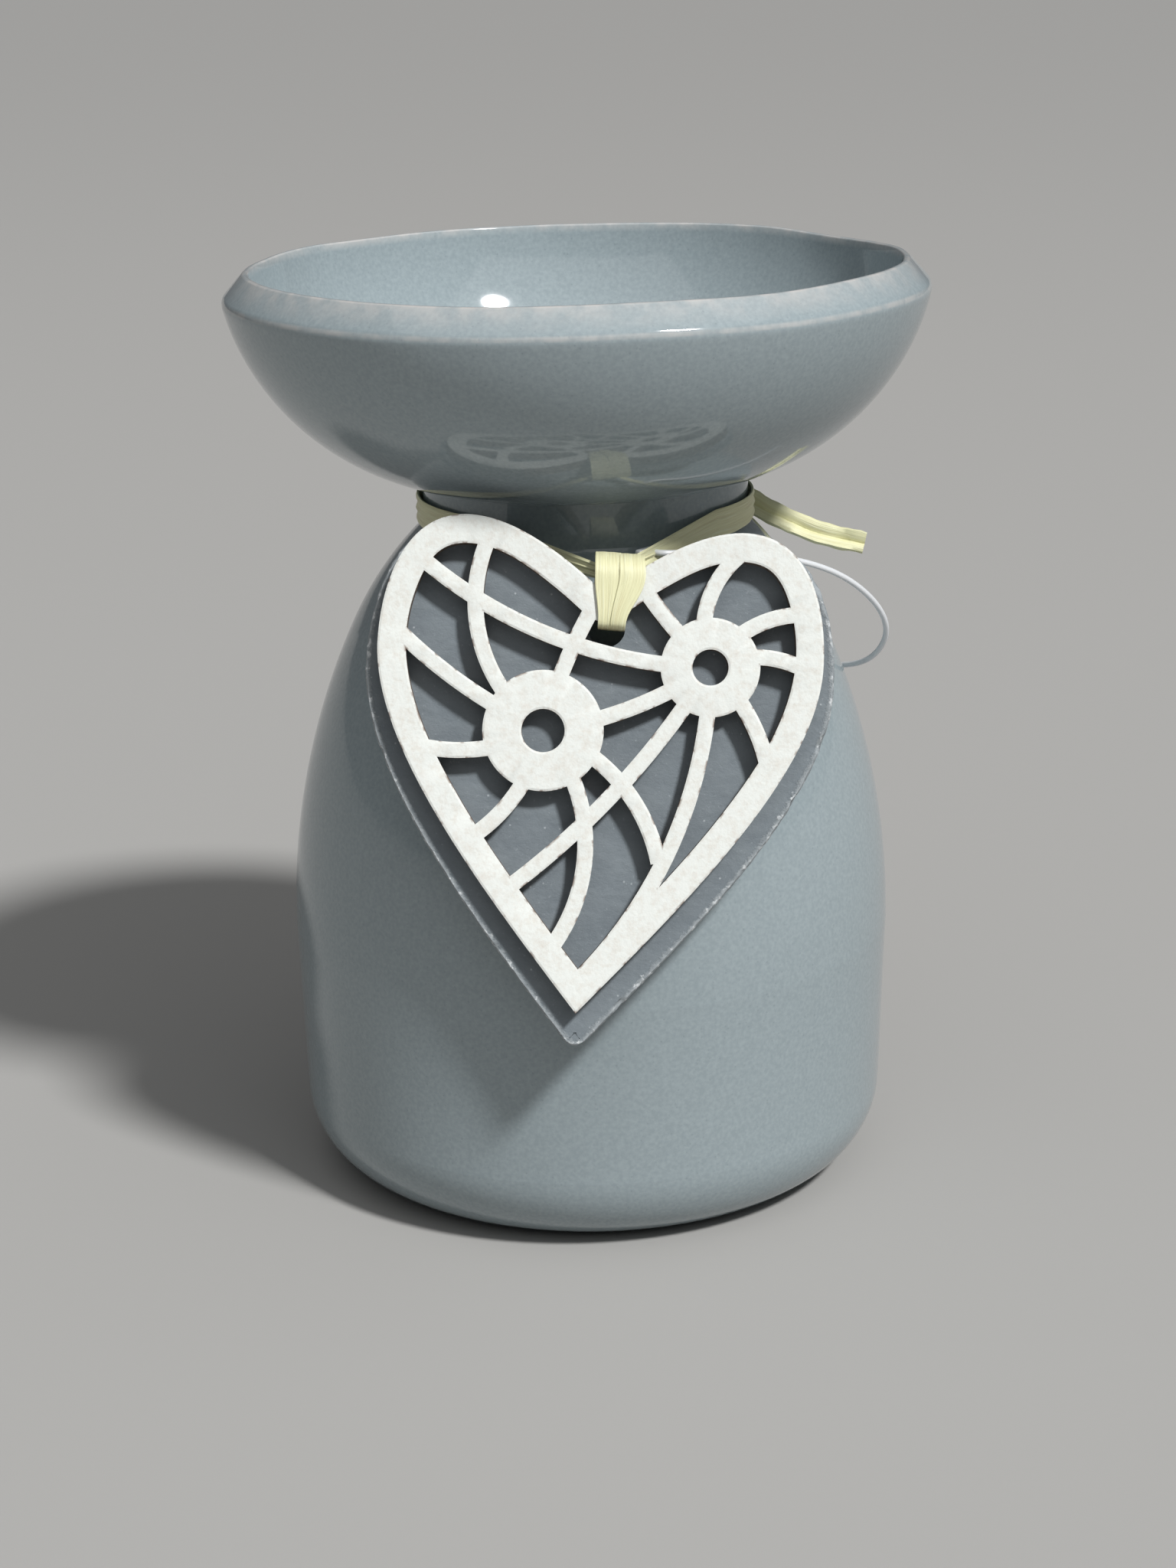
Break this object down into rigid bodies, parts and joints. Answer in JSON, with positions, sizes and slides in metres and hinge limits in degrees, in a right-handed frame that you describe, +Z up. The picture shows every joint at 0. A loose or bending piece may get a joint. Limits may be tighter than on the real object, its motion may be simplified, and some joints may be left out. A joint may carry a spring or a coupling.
{
  "type": "essential oil burner",
  "caption": "Glazed stoneware oil burner: an oil bowl on a hollow dome with a rear arch for a tealight, and a slate and fretwork heart hung from its neck on raffia.",
  "frame": {"origin": "middle of the dome's flat foot", "axes": "+Z up, -Y to the front where the heart hangs, +X to the right as seen from the front"},
  "size_m": [0.1048, 0.11, 0.1407],
  "materials": {
    "glaze": "glossy grey-blue glaze with a fine speckle",
    "slate": "split slate with pale chipped edges",
    "painted_board": "matt white paint, brown cut edges",
    "raffia": "dry fibre strip",
    "nylon": "clear moulded nylon",
    "cup_foil": "drawn foil, bright",
    "wax": "white wax",
    "cotton": "waxed cotton braid",
    "tinplate": "stamped tinplate"
  },
  "bodies": {
    "burner": {"burner_body": "glaze", "oil_bowl": "glaze"},
    "candle": {"tealight_cup": "cup_foil", "tealight_wax": "wax", "tealight_wick": "cotton", "wick_sustainer": "tinplate"},
    "collar": {"raffia_band": "raffia", "raffia_knot": "raffia", "raffia_tail_right": "raffia", "raffia_tail_back": "raffia", "tag_pin": "nylon", "tag_pin_bar": "nylon", "tag_pin_paddle": "nylon"},
    "pendant": {"slate_heart": "slate", "fretwork_heart": "painted_board", "raffia_loop": "raffia"}
  },
  "joints": [
    {"name": "candle_out", "type": "slide", "parent": "burner", "child": "candle", "axis": [0, 1, 0], "range_m": [0, 0.09]},
    {"name": "collar_turn", "type": "hinge", "parent": "burner", "child": "collar", "pos_m": [0, 0, 0.1036], "axis": [0, 0, 1], "range_deg": [-60, 60]},
    {"name": "pendant_lift", "type": "hinge", "parent": "collar", "child": "pendant", "pos_m": [0.00334, -0.03382, 0.10028], "axis": [-1, 0, 0], "range_deg": [0, 40]}
  ]
}
